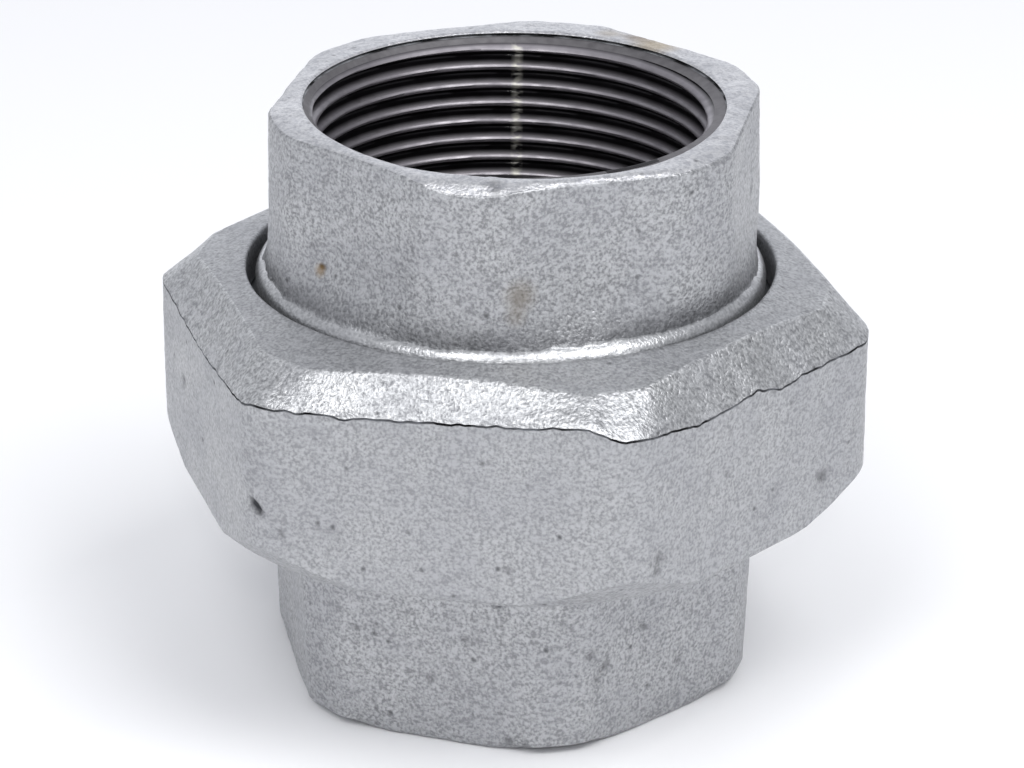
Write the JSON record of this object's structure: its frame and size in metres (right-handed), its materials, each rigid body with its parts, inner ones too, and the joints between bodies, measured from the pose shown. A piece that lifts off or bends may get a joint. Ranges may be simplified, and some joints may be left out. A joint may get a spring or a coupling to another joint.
{
  "type": "pipe union",
  "caption": "Galvanised cast iron pipe union with a female pipe thread at each end, a swivel tail end, a flat gasket and a hexagonal union nut that draws the halves together.",
  "frame": {"origin": "on the pipe axis, in the plane of the threaded end's lower end face", "axes": "+Z along the pipe axis towards the tail end, -Y square to one flat of the union nut"},
  "size_m": [0.0844, 0.075, 0.07],
  "materials": {
    "galvanised_casting": "hot-dip galvanised, as cast",
    "gasket": "matt black"
  },
  "bodies": {
    "threaded_end": {"threaded_end": "galvanised_casting", "gasket": "gasket"},
    "tail_end": {"tail_end": "galvanised_casting"},
    "union_nut": {"union_nut": "galvanised_casting"}
  },
  "joints": [
    {"name": "tail_lift", "type": "slide", "parent": "threaded_end", "child": "tail_end", "axis": [0, 0, 1], "range_m": [0, 0.0139]},
    {"name": "nut_turn", "type": "hinge", "parent": "tail_end", "child": "union_nut", "pos_m": [0, 0, 0.037], "axis": [0, 0, 1], "range_deg": [0, 2160]}
  ],
  "couplings": [
    {"joint": "tail_lift", "follows": "nut_turn", "m_per_rad": 0.0003675}
  ]
}
